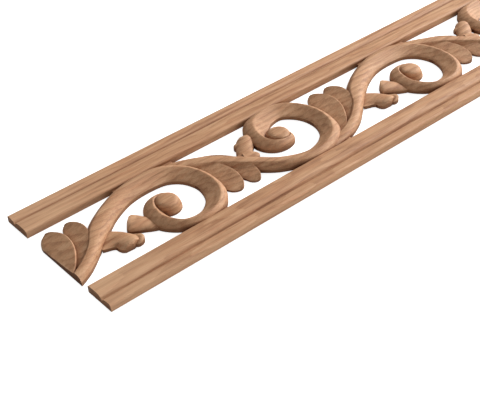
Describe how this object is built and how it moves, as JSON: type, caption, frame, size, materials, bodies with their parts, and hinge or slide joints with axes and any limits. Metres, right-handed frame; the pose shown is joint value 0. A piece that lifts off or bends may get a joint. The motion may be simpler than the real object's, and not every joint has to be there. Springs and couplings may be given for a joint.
{
  "type": "carved wood trim",
  "caption": "Pierced wood trim moulding: two moulded rails with a carved scrolling vine, leaves and sprigs between them, flat back for fixing, square cut ends.",
  "frame": {"origin": "middle of the flat back, which lies against the surface the trim is fixed to", "axes": "+X along the trim, +Y across it from the near rail to the far rail, +Z out of the carved face"},
  "size_m": [0.97, 0.1, 0.007],
  "materials": {
    "beech": "unfinished, sanded"
  },
  "bodies": {
    "root": {"carved_trim": "beech"}
  },
  "joints": []
}
